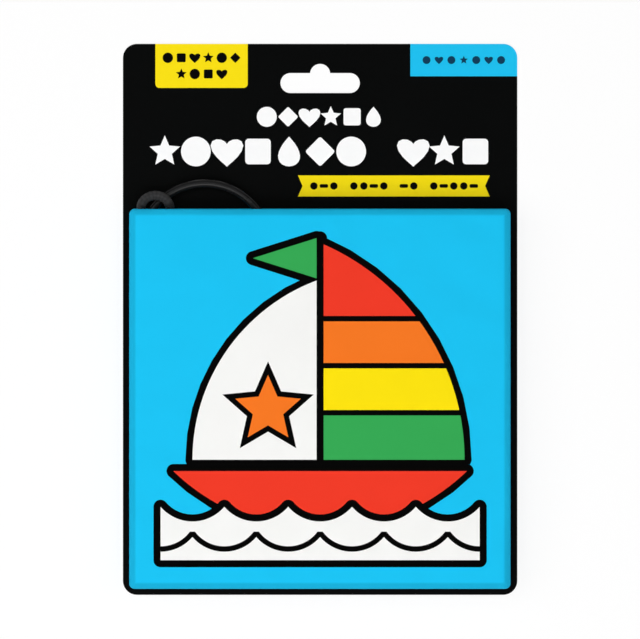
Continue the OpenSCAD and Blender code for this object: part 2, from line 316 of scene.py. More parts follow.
@dataclass(frozen=True)
class CoatedBoard(Finish):
    """Solid board with a black coat on both faces and its pale core at the cut edge."""

    thickness: float
    coat: float = 0.035
    gloss: float = 0.03
    fibre_shade: Colour = (0.36, 0.35, 0.32, 1.0)

    def material(self) -> bpy.types.Material:
        """The coat's colour by height in the board, with a fine egg-shell relief and faint rubbed marks."""
        r = self.recipe()
        place = r.place()
        half = self.thickness / 2
        from_middle = (r.axis(place, "Z") - half * MM).size()
        core = 1.0 - from_middle.step((half - self.coat) * MM, half * MM)
        rub = r.noise(place, 22.0, 2.0)
        board = r.mix(r.noise(place, 0.25), Hue.BOARD_CORE.linear(), self.fibre_shade)
        colour = r.mix(core, Hue.BOARD.linear(), board)
        return r.surface(colour, 0.3 + 0.06 * rub + 0.4 * core, r.noise(place, 0.7), 0.004, self.gloss)


@dataclass(frozen=True)
class PrintedInk(Finish):
    """Satin ink on coated board."""

    hue: Hue
    gloss: float = 0.1

    def material(self) -> bpy.types.Material:
        """Even colour with the faint mottling of an offset print and a little orange peel."""
        r = self.recipe()
        place = r.place()
        mottle = r.noise(place, 1.6)
        colour = r.mix(0.975 + 0.04 * mottle, BLACK, self.hue.linear())
        return r.surface(colour, 0.26 + 0.1 * mottle, r.noise(place, 0.5), 0.003, self.gloss)


@dataclass(frozen=True)
class BraidedCord(Finish):
    """Matte polyester braid; the strands' own relief is in the mesh."""

    filament: float = 0.12
    fuzz_shade: Colour = (0.05, 0.05, 0.052, 1.0)

    def material(self) -> bpy.types.Material:
        """Fine filaments along the strands, with painted shade where they dip between the diamonds."""
        r = self.recipe()
        cloth = r.mark(WEAVE, "Vector")
        around = r.axis(cloth, "X")
        along = r.axis(cloth, "Y")
        pitch = math.pi / (self.filament * MM)
        strands = 0.2 * ((around + along) * pitch).sine() + 0.2 * ((around - along) * pitch).sine()
        fuzz = r.noise(cloth, 0.4)
        # Painted shade: the colour is darker in the dips between the strands.
        colour = r.mix(r.mark(DIP_SHADE), Hue.CORD.linear(), Hue.CORD_DARK.linear())
        colour = r.mix(0.2 * fuzz, colour, self.fuzz_shade)
        return r.surface(colour, 0.75 + 0.15 * fuzz, 0.5 + strands + 0.4 * fuzz, 0.03, 0.25)


@dataclass(frozen=True)
class MouldedPlastic(Finish):
    """Glossy black plastic with a parting line round the middle of its height."""

    parting: float
    gloss: float = 0.2
    smear_shade: Colour = (0.012, 0.012, 0.0125, 1.0)

    def material(self) -> bpy.types.Material:
        """Faint handling marks in the gloss, and a thin raised line where the mould's halves met."""
        r = self.recipe()
        place = r.place()
        smear = r.noise(place, 6.0)
        line = 1.0 - (r.axis(place, "Z") - self.parting * MM).size().step(0.03 * MM, 0.12 * MM)
        colour = r.mix(0.25 * smear, Hue.PLASTIC.linear(), self.smear_shade)
        return r.surface(colour, 0.2 + 0.12 * smear, line + 0.06 * r.noise(place, 0.8), 0.04, self.gloss)


@dataclass(frozen=True)
class CloudedFinish(Finish):
    """One noise in the colour, the roughness and the relief: drawing marks of wire, or lumps of glue."""

    hue: Hue
    cloud: Colour
    lump: float
    relief: float
    gloss: float = 0.5
    metal: float = 0.0

    def material(self) -> bpy.types.Material:
        """The noise carries the colour up to three tenths of the way to the cloud's."""
        r = self.recipe()
        lump = r.noise(r.place(), self.lump)
        colour = r.mix(0.3 * lump, self.hue.linear(), self.cloud)
        return r.surface(colour, 0.25 + 0.2 * lump, lump, self.relief, self.gloss, self.metal)


@dataclass(frozen=True)
class StudioPaper(Finish):
    """Pale seamless paper under the object."""

    glow: float = 0.8
    tooth_shade: Colour = (0.8, 0.8, 0.8, 1.0)

    def material(self) -> bpy.types.Material:
        """Matte paper that looks, and shows in glossy things, mostly as plain white, but keeps its shadow."""
        r = self.recipe()
        white = Hue.PAPER_WHITE.linear()
        tone = r.mix(0.02 * r.noise(r.place(), 1.2), white, self.tooth_shade)
        paper = r.node("ShaderNodeBsdfDiffuse", inputs={"Color": tone})
        plain = r.node("ShaderNodeEmission", inputs={"Color": white, "Strength": 1.0})
        kinds = ("Camera", "Glossy", "Transmission")
        rays = [r.node("ShaderNodeLightPath", output=f"Is {kind} Ray") for kind in kinds]
        seen = r.node("ShaderNodeClamp", inputs={"Value": sum(rays[1:], rays[0])})
        r.end(r.node("ShaderNodeMixShader", inputs={0: self.glow * seen, 1: paper, 2: plain}))
        return r.owner


def corners(node: str) -> tuple[np.ndarray, np.ndarray]:
    """Lowest and highest corner of a CAD node, in millimetres."""
    low, high = (np.array(corner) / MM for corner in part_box(node))
    return low, high


def grid_faces(rows: int, columns: int, closed: bool = False) -> np.ndarray:
    """Four-sided faces of a grid of points.

    Args:
        rows: Number of rows of points.
        columns: Number of points in a row.
        closed: Whether a row's last point meets its first.

    Returns:
        Point numbers of each face, turned so that rows x columns points out of the grid.
    """
    i = np.arange(rows - 1)[:, None] * columns
    j = np.arange(columns if closed else columns - 1)[None, :]
    after = (j + 1) % columns
    around = [i + j, i + columns + j, i + columns + after, i + after]
    return np.stack(np.broadcast_arrays(*around), -1).reshape(-1, 4)


def tube_faces(rows: int, columns: int) -> np.ndarray:
    """Faces of a closed tube: its wall, and both ends in strips across from one half of a row to the other.

    Args:
        rows: Number of rows of points along the tube.
        columns: Number of points round it, which is even.

    Returns:
        Point numbers of each face, all turned the same way.
    """
    near = np.arange(columns // 2 - 1)
    far = columns - 1 - near
    end = np.stack([near, far, far - 1, near + 1], -1)
    return np.vstack([grid_faces(rows, columns, closed=True), end[:, ::-1], end + (rows - 1) * columns])


def panel_faces(seam: np.ndarray) -> tuple[np.ndarray, np.ndarray]:
    """Faces of two panels on like grids that share the points of their seam.

    Args:
        seam: Which points of a grid are seam.

    Returns:
        Numbers of the points in use, counted through the upper and then the lower panel, and the faces
        as places in that list.
    """
    number = np.arange(seam.size).reshape(seam.shape)
    below = np.where(seam, number, number + seam.size)
    quads = grid_faces(*seam.shape)
    joined = np.vstack([quads, below.ravel()[quads][:, ::-1]])
    used, faces = np.unique(joined, return_inverse=True)
    return used, faces.reshape(joined.shape)


def length_along(line: np.ndarray) -> np.ndarray:
    """Length from a line's first point to each of its points."""
    return np.concatenate([[0.0], np.cumsum(np.linalg.norm(np.diff(line, axis=0), axis=1))])


def add_object(name: str, data: bpy.types.ID) -> bpy.types.Object:
    """Puts a new object into the scene, at the origin."""
    made = bpy.data.objects.new(name, data)
    bpy.context.scene.collection.objects.link(made)
    return made


def write_mesh(
    name: str, points: np.ndarray, faces: np.ndarray, marks: dict[str, np.ndarray]
) -> bpy.types.Object:
    """Puts arrays into a new smooth mesh object at the origin.

    Args:
        name: The piece's name.
        points: Places of the points, in millimetres.
        faces: Point numbers of each face, all with the same number of corners.
        marks: Values that materials read at each point: vectors or numbers, by name.

    Returns:
        The object, linked to the scene.
    """
    mesh = bpy.data.meshes.new(name)
    mesh.vertices.add(len(points))
    place_points(mesh, points)
    mesh.loops.add(faces.size)
    mesh.loops.foreach_set("vertex_index", faces.astype(np.int32).ravel())
    mesh.polygons.add(len(faces))
    mesh.polygons.foreach_set("loop_start", np.arange(len(faces), dtype=np.int32) * faces.shape[1])
    mesh.polygons.foreach_set("use_smooth", np.ones(len(faces), bool))
    mesh.update(calc_edges=True)
    mesh.validate()
    add_marks(mesh, marks)
    return add_object(name, mesh)


def place_points(mesh: bpy.types.Mesh, points: np.ndarray) -> None:
    """Moves a mesh's points to places in millimetres."""
    mesh.vertices.foreach_set("co", (points * MM).astype(np.float32).ravel())


def point_array(mesh: bpy.types.Mesh) -> np.ndarray:
    """Places of a mesh's points, in millimetres."""
    flat = np.zeros(len(mesh.vertices) * 3, np.float32)
    mesh.vertices.foreach_get("co", flat)
    return flat.reshape(-1, 3).astype(float) / MM


def add_marks(mesh: bpy.types.Mesh, marks: dict[str, np.ndarray]) -> None:
    """Adds point attributes: a two-dimensional array as vectors, a flat one as numbers."""
    for key, values in marks.items():
        form, field = ("FLOAT_VECTOR", "vector") if values.ndim == 2 else ("FLOAT", "value")
        layer = mesh.attributes.new(key, form, "POINT")
        layer.data.foreach_set(field, values.astype(np.float32).ravel())


def merged_copy(node: str, name: str, cell: float = 0.0) -> bpy.types.Object:
    """A smooth copy of a CAD node's mesh with its loose triangles joined and its corners of 35 degrees kept.

    Args:
        node: The CAD node to copy.
        name: The new piece's name.
        cell: Where it isn't 0, the copy is cut along a square grid of that many millimetres.

    Returns:
        The new object; the CAD node is left as it is.
    """
    shape = bmesh.new()
    shape.from_mesh(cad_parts[node].data)
    bmesh.ops.remove_doubles(shape, verts=shape.verts, dist=0.001 * MM)
    low, high = corners(node)
    for axis in (0, 1) if cell else ():
        across = [float(k == axis) for k in range(3)]
        for cut in np.arange(math.ceil(low[axis] / cell), high[axis] / cell) * cell * MM:
            everything = shape.verts[:] + shape.edges[:] + shape.faces[:]
            point = [cut * a for a in across]
            bmesh.ops.bisect_plane(shape, geom=everything, dist=1e-7, plane_co=point, plane_no=across)
    for face in shape.faces:
        face.smooth = True
    mesh = bpy.data.meshes.new(name)
    shape.to_mesh(mesh)
    shape.free()
    mesh.set_sharp_from_angle(angle=math.radians(35.0))
    return add_object(name, mesh)


def dress(piece: bpy.types.Object, finish: bpy.types.Material) -> None:
    """Gives a piece, or a CAD node, one material."""
    if piece.material_slots:
        for slot in piece.material_slots:
            slot.material = finish
    else:
        piece.data.materials.append(finish)


def enter(
    piece: bpy.types.Object,
    finish: bpy.types.Material,
    body: Body | None,
    node: str = "",
) -> None:
    """Dresses a new piece, reports it and gives it its place in the frame.

    Args:
        piece: The piece.
        finish: Its material.
        body: The body that it rides on, or None where it rides on none.
        node: The CAD node that it stands for, if any.
    """
    dress(piece, finish)
    if body:
        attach(piece, body.value)
    if node:
        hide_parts(node)
    log.info("%s: %d faces", piece.name, len(piece.data.polygons))


def ease(value: np.ndarray) -> np.ndarray:
    """Smooth step from 0 to 1, level outside."""
    held = np.clip(value, 0.0, 1.0)
    return held * held * (3 - 2 * held)


def soft_least(first: np.ndarray, second: np.ndarray, width: float = 0.1) -> np.ndarray:
    """The lower of two heights, with the corner between them rounded over a width."""
    return -width * np.logaddexp(-first / width, -second / width)


@dataclass(frozen=True)
class SeamSection:
    """Section of one cloth panel, from the crease it shares with the other panel to its flat middle.

    Its points are insets from the outline and heights over the leaf's middle, in millimetres.
    """

    half: float
    points: tuple[tuple[float, float], ...] = (
        (0.36, 0.0),
        (0.08, 0.06),
        (0.0, 0.3),
        (0.22, 0.7),
        (0.75, 1.16),
        (1.5, 1.53),
        (2.4, 1.75),
        (3.6, 1.86),
        (5.0, 1.9),
        (6.4, 1.9),
    )
    roundings: int = 3

    def table(self) -> tuple[np.ndarray, np.ndarray, np.ndarray]:
        """Rounds the points by cutting their corners at a quarter and three quarters, three times over.

        Returns:
            Length along the cloth, inset and height of each point.
        """
        line = np.array(self.points)
        line[:, 1] *= self.half / line[-1, 1]
        for _ in range(self.roundings):
            near = 0.75 * line[:-1] + 0.25 * line[1:]
            far = 0.25 * line[:-1] + 0.75 * line[1:]
            line = np.vstack([line[:1], np.stack([near, far], 1).reshape(-1, 2), line[-1:]])
        return length_along(line), line[:, 0], line[:, 1]


def sine_field(
    draw: np.random.Generator, x: np.ndarray, y: np.ndarray, lengths: tuple[float, float], count: int
) -> np.ndarray:
    """Gentle unevenness: a sum of sines in many directions, with a spread of about one.

    Args:
        draw: Source of the directions, lengths and shifts.
        x: Places across, in millimetres.
        y: Places up.
        lengths: Shortest and longest wave.
        count: Number of sines.

    Returns:
        The field at each place.
    """
    total = np.zeros_like(x)
    for _ in range(count):
        angle = draw.uniform(0, TURN)
        turn = TURN / draw.uniform(*lengths)
        total += np.sin(turn * (x * math.cos(angle) + y * math.sin(angle)) + draw.uniform(0, TURN))
    return total * math.sqrt(2 / count)


@dataclass(frozen=True)
class WrinkleNet:
    """Heights of wrinkles at the knots of a net that covers a leaf."""

    knots: np.ndarray
    width: float
    height: float

    def at(self, x: np.ndarray, y: np.ndarray) -> np.ndarray:
        """Height by a cubic B-spline, so that each place sums its 16 nearest knots.

        Args:
            x: Places across from the leaf's middle, in millimetres.
            y: Places up from the leaf's middle.

        Returns:
            The height at each place.
        """
        last = self.knots.shape[0] - 1
        total = np.zeros_like(x)
        for row, row_share in self.shares((x / self.width + 0.5) * last):
            for column, column_share in self.shares((y / self.height + 0.5) * last):
                total += row_share * column_share * self.knots[row, column]
        return total

    def shares(self, place: np.ndarray) -> list[tuple[np.ndarray, np.ndarray]]:
        """The four nearest knots along one side of the net, and what each of them adds.

        Args:
            place: Places along that side, counted in knots.

        Returns:
            The number and the share of each of the four.
        """
        low = np.floor(place)
        after = place - low
        before = 1 - after
        cubes = (before**3, 3 * after**3 - 6 * after**2 + 4, 3 * before**3 - 6 * before**2 + 4, after**3)
        last = self.knots.shape[0] - 1
        return [(np.clip(low + k - 1, 0, last).astype(int), cube / 6) for k, cube in enumerate(cubes)]


@dataclass(frozen=True)
class BlownLeaf:
    """Cloth simulation of one leaf, from which its wrinkles are taken.

    A coarse net of both panels is held at its seam and cut a little too large. Pressure blows it up, and the
    spare cloth stands in wrinkles. It is drawn at ten times its size, because the solver is tuned for metres.
    """

    width: float
    height: float
    seed: int
    knots: int = 48
    enlarged: float = 10.0
    half: float = 1.9
    puff: float = 3.6
    ripple: float = 0.06
    spare: float = 0.03
    pressure: float = 1.0
    hold: float = 0.02
    stiffness: float = 5.0
    frames: int = 20
    blur_passes: int = 18

    def start(self) -> tuple[np.ndarray, np.ndarray, np.ndarray]:
        """Net before it is blown up.

        The height over the middle is a root of the distance from the seam, with faint waves that the
        wrinkles grow from.

        Returns:
            Both panels' points, which of them are seam, and the heights without the waves.
        """
        draw = np.random.default_rng(self.seed)
        lines = (np.linspace(-size / 2, size / 2, self.knots) for size in (self.width, self.height))
        x, y = np.meshgrid(*lines, indexing="ij")
        inset = np.minimum(self.width / 2 - np.abs(x), self.height / 2 - np.abs(y))
        smooth = self.half * np.sqrt(np.clip(inset / self.puff, 0, 1))
        panels = []
        for side in (1, -1):
            waves = self.ripple * sine_field(draw, x, y, (10.0, 40.0), 24) * ease(inset / 5)
            panels.append(np.stack([x, y, side * (smooth + waves)], -1))
        return np.stack(panels), inset < 1e-6, smooth

    def blow(self, panels: np.ndarray, seam: np.ndarray) -> np.ndarray:
        """Runs the simulation.

        Args:
            panels: Points of both panels, in millimetres.
            seam: Which of a panel's points are seam.

        Returns:
            Both panels' points as the simulation leaves them.
        """
        used, faces = panel_faces(seam)
        flat = panels.reshape(-1, 3)
        piece = write_mesh("blown_leaf", flat[used] * self.enlarged, faces, {})
        group = piece.vertex_groups.new(name="held")
        fixed = np.tile(seam.ravel(), 2)[used]
        group.add(np.nonzero(fixed)[0].tolist(), 1.0, "REPLACE")
        group.add(np.nonzero(~fixed)[0].tolist(), self.hold, "REPLACE")
        cloth = piece.modifiers.new("cloth", "CLOTH").settings
        cloth.quality = 6
        cloth.bending_stiffness = self.stiffness
        cloth.use_pressure = True
        cloth.uniform_pressure_force = self.pressure
        cloth.shrink_min = -self.spare
        cloth.vertex_group_mass = group.name
        cloth.effector_weights.gravity = 0
        scene = bpy.context.scene
        for frame_number in range(1, self.frames + 1):
            scene.frame_set(frame_number)
        shape = piece.evaluated_get(bpy.context.evaluated_depsgraph_get()).to_mesh()
        blown = flat.copy()
        blown[used] = point_array(shape) / self.enlarged
        mesh = piece.data
        bpy.data.objects.remove(piece)
        bpy.data.meshes.remove(mesh)
        scene.frame_set(1)
        return blown.reshape(panels.shape)

    def wrinkles(self) -> tuple[WrinkleNet, WrinkleNet]:
        """What the simulation adds to the upper and the lower panel, less its own smoothed form.

        The smoothing weighs each knot with its neighbours, many times over.
        """
        panels, seam, smooth = self.start()
        blown = self.blow(panels, seam)
        whole = np.eye(self.knots)
        blend = 0.5 * whole + 0.25 * (np.eye(self.knots, k=1) + np.eye(self.knots, k=-1))
        blend[[0, -1]] = whole[[0, -1]]
        spread = np.linalg.matrix_power(blend, self.blur_passes)
        nets = []
        for side, panel in zip((1, -1), blown):
            rise = side * panel[..., 2] - smooth
            rise[seam] = 0.0
            nets.append(WrinkleNet(rise - spread @ rise @ spread.T, self.width, self.height))
        log.info("simulated leaf %d: wrinkles spread %.2f mm", self.seed, float(nets[0].knots.std()))
        return nets[0], nets[1]


@dataclass(frozen=True)
class ClothRelief:
    """How far the cloth stands over or under its ideal shape.

    Each pair holds the upper panel's value and the lower panel's.
    """

    seed: int
    nets: tuple[WrinkleNet, WrinkleNet]
    wave: float = 0.05
    pucker: float = 0.16
    pucker_reach: float = 5.0
    wrinkle: float = 0.9
    shares: tuple[float, float] = (1.0, 1.0)
    rooms: tuple[float, float] = (0.12, 0.12)
    edge_room: float = 0.5
    edge_reach: float = 0.8
    hollow: float = 1.3
    sway: float = 0.3
    sway_reach: float = 3.6
    sway_held: float = 14.0

    def at(
        self, x: np.ndarray, y: np.ndarray, inset: np.ndarray, sides: tuple[np.ndarray, np.ndarray], side: int
    ) -> np.ndarray:
        """Relief of one panel.

        It sums soft waves of 9 to 34 mm that fade out at the seam, puckers along each seam, which are sines
        of close lengths so that they come and go, and the simulated wrinkles. A tanh holds it within the
        room that the neighbours leave.

        Args:
            x: Places across the leaf from its middle, in millimetres.
            y: Places up the leaf from its middle.
            inset: Distance from the outline.
            sides: Distance from the left or right side, and from the upper or lower one.
            side: 1 for the upper panel and -1 for the lower one.

        Returns:
            Height to add outwards, in millimetres.
        """
        draw = np.random.default_rng(self.seed + side)
        which = int(side < 0)
        relief = self.wave * sine_field(draw, x, y, (9.0, 34.0), 18) * ease((inset - 1.5) / 5)
        for along, from_side in ((y, sides[0]), (x, sides[1])):
            fade = np.exp(-from_side / self.pucker_reach * 2) * ease((inset - 0.05) / 0.5)
            for length in draw.uniform(4.2, 8.5, 3):
                relief += 0.6 * self.pucker * fade * np.sin(TURN * along / length + draw.uniform(0, TURN))
        relief += self.wrinkle * self.shares[which] * self.nets[which].at(x, y)
        room = self.rooms[which] + self.edge_room * np.exp(-inset / self.edge_reach)
        sunk = self.hollow * np.tanh(relief / self.hollow)
        return np.where(relief > 0, room * np.tanh(relief / room), sunk)

    def seam_sway(
        self, x: np.ndarray, y: np.ndarray, inset: np.ndarray, from_spine: np.ndarray
    ) -> np.ndarray:
        """Rise and fall of the seam in long waves that fade inwards and at the spine.

        Args:
            x: Places across the leaf from its middle, in millimetres.
            y: Places up the leaf from its middle.
            inset: Distance from the outline.
            from_spine: Distance from the leaf's left side.

        Returns:
            Height to add to both panels, in millimetres.
        """
        draw = np.random.default_rng(self.seed + 50)
        waves = 1.6 * np.tanh(sine_field(draw, x, y, (26.0, 70.0), 8) / 1.6)
        return self.sway * waves * (1 - ease(inset / self.sway_reach)) * ease(from_spine / self.sway_held)


@dataclass(frozen=True)
class RingPocket:
    """Hollow that the ring lies in and swings through, as a row of discs.

    Its side is 1 in the cloth under the ring, and -1 in the cloth over it.
    """

    side: int
    eye: tuple[float, float] = LOOP_EYE
    reach: float = 23.6
    lay: float = -39.5
    swing: float = 65.0
    radius: float = 26.9
    places: int = 14
    floor: float = 3.1
    roof: float = 6.6
    depth: float = 3.0
    slope: float = 7.0

    def outside(self, x: np.ndarray, y: np.ndarray) -> np.ndarray:
        """Distance of places from the nearest disc's rim, below 0 inside it."""
        turns = np.radians(self.lay + np.linspace(0, self.swing, self.places))
        middle_x = self.eye[0] + self.reach * np.cos(turns)
        middle_y = self.eye[1] + self.reach * np.sin(turns)
        return np.hypot(x[..., None] - middle_x, y[..., None] - middle_y).min(-1) - self.radius

    def press(self, x: np.ndarray, y: np.ndarray, z: np.ndarray) -> np.ndarray:
        """Presses the cloth away from the ring.

        Inside the pocket the cloth is held at its floor or its roof, and beside it that limit eases off.

        Args:
            x: Places across, in millimetres.
            y: Places up.
            z: Height of the cloth there.

        Returns:
            The pressed height.
        """
        level = self.floor if self.side > 0 else self.roof
        limit = level + self.side * self.depth * ease(self.outside(x, y) / self.slope)
        return self.side * soft_least(self.side * z, self.side * limit)


@dataclass
class PaddedLeaf:
    """A sewn and filled cloth leaf that fills a box: two panels that meet in a crease round the outline."""

    low: np.ndarray
    high: np.ndarray
    relief: ClothRelief
    corner: float = 2.0
    pitch: float = 1.25
    near: tuple[float, ...] = (0, 0.2, 0.42, 0.66, 0.95, 1.3, 1.7, 2.15, 2.65, 3.2, 3.85, 4.6, 5.5, 6.6)
    crown: float = 0.0
    pocket: RingPocket | None = None
    pocket_fade: float = 10.0

    def __post_init__(self) -> None:
        """Works out what follows from the box: its size, its middle and the seam's section."""
        self.size = self.high - self.low
        self.mid_x, self.mid_y = (self.low + self.high)[:2] / 2
        self.middle = self.low[2] + self.size[2] / 2
        self.section = SeamSection(self.size[2] / 2)

    def lines(self, half: float) -> np.ndarray:
        """Places of the grid's lines from one side to the other, close together near the seams.

        Args:
            half: Half of the grid's size in that direction, in millimetres.

        Returns:
            The places, from -half to half.
        """
        near = np.array(self.near)
        inner = half - near[-1]
        middle = np.linspace(-inner, inner, 2 * int(round(inner / self.pitch)) + 1)
        return np.concatenate([near[:-1] - half, middle, (half - near[:-1])[::-1]])

    def outline(self) -> tuple[np.ndarray, ...]:
        """Grid of the leaf seen from above, with the seam's rows in their places.

        The square grid's corners are rounded by mapping a square onto a quarter disc. A point's distance from
        the border, along the cloth, then gives its true inset and height from the seam's section.

        Returns:
            Places across and up from the leaf's middle, height over its middle, inset, and the two
            coordinates along the cloth.
        """
        length, inset_table, height_table = self.section.table()
        extra = length[-1] - inset_table[-1]
        half = self.size[:2] / 2 + extra
        radius = self.corner + extra
        u, v = np.meshgrid(self.lines(half[0]), self.lines(half[1]), indexing="ij")
        sign = np.stack([np.where(u < 0, -1.0, 1.0), np.where(v < 0, -1.0, 1.0)])
        beyond = np.stack([np.abs(u) - half[0] + radius, np.abs(v) - half[1] + radius]) / radius
        both = (beyond > 0).all(0)
        squeezed = beyond * np.sqrt(1 - np.clip(beyond[::-1], 0, 1) ** 2 / 2)
        beyond = np.where(both, squeezed, beyond) * radius
        held = np.clip(beyond, 0, None)
        away = np.hypot(held[0], held[1])
        along = radius - away - np.minimum(beyond.max(0), 0)
        wider = beyond[0] > beyond[1]
        straight = np.stack([wider, ~wider]).astype(float)
        outward = np.where(both, held / np.maximum(away, 1e-9), straight)
        inset = np.where(along < length[-1], np.interp(along, length, inset_table), along - extra)
        height = np.interp(along, length, height_table)
        shift = along - extra - inset
        x, y = sign * (half[:, None, None] - radius + beyond + outward * shift)
        return x, y, height, inset, u, v

    def sides(self, x: np.ndarray, y: np.ndarray) -> tuple[np.ndarray, np.ndarray]:
        """Distance of places from the left or right side, and from the upper or lower one."""
        return self.size[0] / 2 - np.abs(x), self.size[1] / 2 - np.abs(y)

    def bulge(self, x: np.ndarray, y: np.ndarray) -> np.ndarray:
        """How far the filling crowns the upper panel: a parabola across times one up the leaf."""
        across, up = 2 * x / self.size[0], 2 * y / self.size[1]
        return self.crown * np.clip(1 - across**2, 0, 1) * np.clip(1 - up**2, 0, 1)

    def panel(self, side: int) -> tuple[np.ndarray, np.ndarray, np.ndarray]:
        """One panel of the leaf.

        Args:
            side: 1 for the upper panel and -1 for the lower one.

        Returns:
            Points of the panel's grid, in millimetres, their places along the cloth, in metres, and their
            insets, in millimetres.
        """
        x, y, height, inset, cloth_x, cloth_y = self.outline()
        rise = self.relief.at(x, y, inset, self.sides(x, y), side)
        if side > 0:
            rise = rise + self.bulge(x, y)
        border = ease(inset / 0.3) * (height > 0)
        place = x + self.mid_x, y + self.mid_y
        sway = self.relief.seam_sway(x, y, inset, place[0] - self.low[0])
        if self.pocket:
            sway = sway * ease(self.pocket.outside(*place) / self.pocket_fade)
        z = self.middle + side * (height + rise * border) + sway
        if self.pocket and self.pocket.side == side:
            z = self.pocket.press(*place, z)
        z = np.where(height > 0, z, self.middle + sway)
        along = np.stack([cloth_x, cloth_y, np.full_like(x, side)], -1) * MM
        return np.stack([*place, z], -1), along, inset

    def top(self, x: np.ndarray, y: np.ndarray) -> np.ndarray:
        """Height of the upper panel in its flat middle.

        Args:
            x: Places across, in millimetres.
            y: Places up.

        Returns:
            The height there, in millimetres.
        """
        from_x, from_y = x - self.mid_x, y - self.mid_y
        sides = self.sides(from_x, from_y)
        relief = self.relief.at(from_x, from_y, np.minimum(*sides), sides, 1)
        return self.middle + self.section.half + relief + self.bulge(from_x, from_y)

    def surface(self) -> tuple[np.ndarray, np.ndarray, dict[str, np.ndarray]]:
        """Both panels joined at the crease.

        Returns:
            Points, faces, and what the cloth's material reads at each point.
        """
        panels = [self.panel(side) for side in (1, -1)]
        points, cloth = (np.concatenate([panel[k].reshape(-1, 3) for panel in panels]) for k in (0, 1))
        inset = panels[0][2]
        seam = np.ones(inset.shape, bool)
        seam[1:-1, 1:-1] = False
        used, faces = panel_faces(seam)
        return points[used], faces, {WEAVE: cloth[used], INSET: np.tile(inset.ravel(), 2)[used]}


def leaf_of(low: np.ndarray, high: np.ndarray, seed: int, unevenness: dict, **settings: object) -> PaddedLeaf:
    """A leaf that fills a box and has its own simulated wrinkles.

    Args:
        low: The box's lowest corner, in millimetres.
        high: Its highest corner.
        seed: Seed of the leaf's unevenness.
        unevenness: Other fields of its relief.
        settings: Other fields of the leaf.

    Returns:
        The leaf's sizes.
    """
    width, height = (high - low)[:2]
    nets = BlownLeaf(width, height, seed).wrinkles()
    return PaddedLeaf(low, high, ClothRelief(seed, nets, **unevenness), **settings)


@dataclass
class FrontCover:
    """The cover that turns, and its print."""

    seed: int = 3
    cell: float = 2.0
    black_lift: float = 0.05
    colour_lift: float = 0.1
    black_gloss: float = 0.04
    colour_gloss: float = 0.12
    sink: float = 0.12
    trim: float = 0.2
    foot_trim: float = 0.45
    crown: float = 0.8

    def build(self) -> None:
        """Makes the leaf, cut a hair smaller than its box, and lays each colour of the print on it."""
        low, high = corners("front_cover")
        low = low + [0.0, self.foot_trim, 0.0]
        high = high - [self.trim, self.trim, 0.0]
        evenness = {"shares": (0.35, 1.0), "pucker": 0.1, "rooms": (0.7, 0.12)}
        leaf = leaf_of(low, high, self.seed, evenness, crown=self.crown)
        cover = write_mesh("front_cover_cloth", *leaf.surface())
        cloth = WovenCloth("sky_cloth", Hue.SKY, painted_shade_band=PAINTED_SHADE_BAND)
        enter(cover, cloth.material(), Body.COVER, "front_cover")
        for colour, hue in COVER_INKS.items():
            self.lay(leaf, colour, hue)

    def lay(self, leaf: PaddedLeaf, colour: str, hue: Hue) -> None:
        """Drapes one colour of the print over the cloth.

        The CAD layer is cut along a grid, and each point takes the cloth's height at its place: the layer's
        upper face a hair over the cloth, its lower face a little under it.

        Args:
            leaf: The cover that carries the print.
            colour: The colour's name in the CAD nodes.
            hue: The ink's colour.
        """
        node = f"cover_print_{colour}"
        layer = merged_copy(node, f"printed_{colour}", self.cell)
        points = point_array(layer.data)
        upper = points[:, 2] > (points[:, 2].min() + points[:, 2].max()) / 2
        black = hue is Hue.INK
        lift = self.black_lift if black else self.colour_lift
        points[:, 2] = leaf.top(points[:, 0], points[:, 1]) + np.where(upper, lift, -self.sink)
        place_points(layer.data, points)
        cloth = points - [leaf.mid_x, leaf.mid_y, 0.0]
        cloth[:, 2] = 1.0
        add_marks(layer.data, {WEAVE: cloth * MM})
        gloss = self.black_gloss if black else self.colour_gloss
        ink = WovenCloth(f"print_on_cloth_{colour}", hue, gloss=gloss)
        enter(layer, ink.material(), Body.COVER, node)


@dataclass
class BackCover:
    """The leaf that is glued to the card, with the ring's hollow pressed into it."""

    seed: int = 5
    foot_trim: float = 0.25

    def build(self) -> None:
        """Makes the leaf, a hair shorter than its box at the foot."""
        low, high = corners("back_cover")
        low = low + [0.0, self.foot_trim, 0.0]
        leaf = leaf_of(low, high, self.seed, {"shares": (1.0, 0.1)}, pocket=RingPocket(1))
        cover = write_mesh("back_cover_cloth", *leaf.surface())
        cloth = WovenCloth("sky_cloth_back", Hue.SKY, painted_shade_band=PAINTED_SHADE_BAND)
        enter(cover, cloth.material(), Body.BOOK, "back_cover")


@dataclass
class InnerLeaves:
    """The leaves between the covers, as one sewn piece."""

    seed: int = 11
    leaf_count: int = 2
    air: float = 0.1

    def build(self) -> None:
        """Stacks the leaves between the CAD node's faces, each as far from its neighbours as it may rise."""
        low, high = corners("pages")
        rise = np.array([0.0, 0.0, (high[2] - low[2]) / self.leaf_count])
        air = np.array([0.0, 0.0, self.air])
        unevenness = {"wave": 0.03, "rooms": (self.air, self.air), "sway": 0.25}
        leaves = []
        for i in range(self.leaf_count):
            under = low + i * rise + air
            over = high - (self.leaf_count - 1 - i) * rise - air
            pocket = None if i else RingPocket(-1)
            leaves.append(leaf_of(under, over, self.seed + i, unevenness, pocket=pocket).surface())
        points, faces, marks = zip(*leaves)
        starts = np.cumsum([0] + [len(part) for part in points[:-1]])
        joined = np.vstack([part + start for part, start in zip(faces, starts)])
        carried = {key: np.concatenate([part[key] for part in marks]) for key in (WEAVE, INSET)}
        pages = write_mesh("inner_leaves", np.vstack(points), joined, carried)
        cloth = WovenCloth("page_cloth", Hue.WHITE, painted_shade_band=PAINTED_SHADE_BAND)
        enter(pages, cloth.material(), Body.BOOK, "pages")


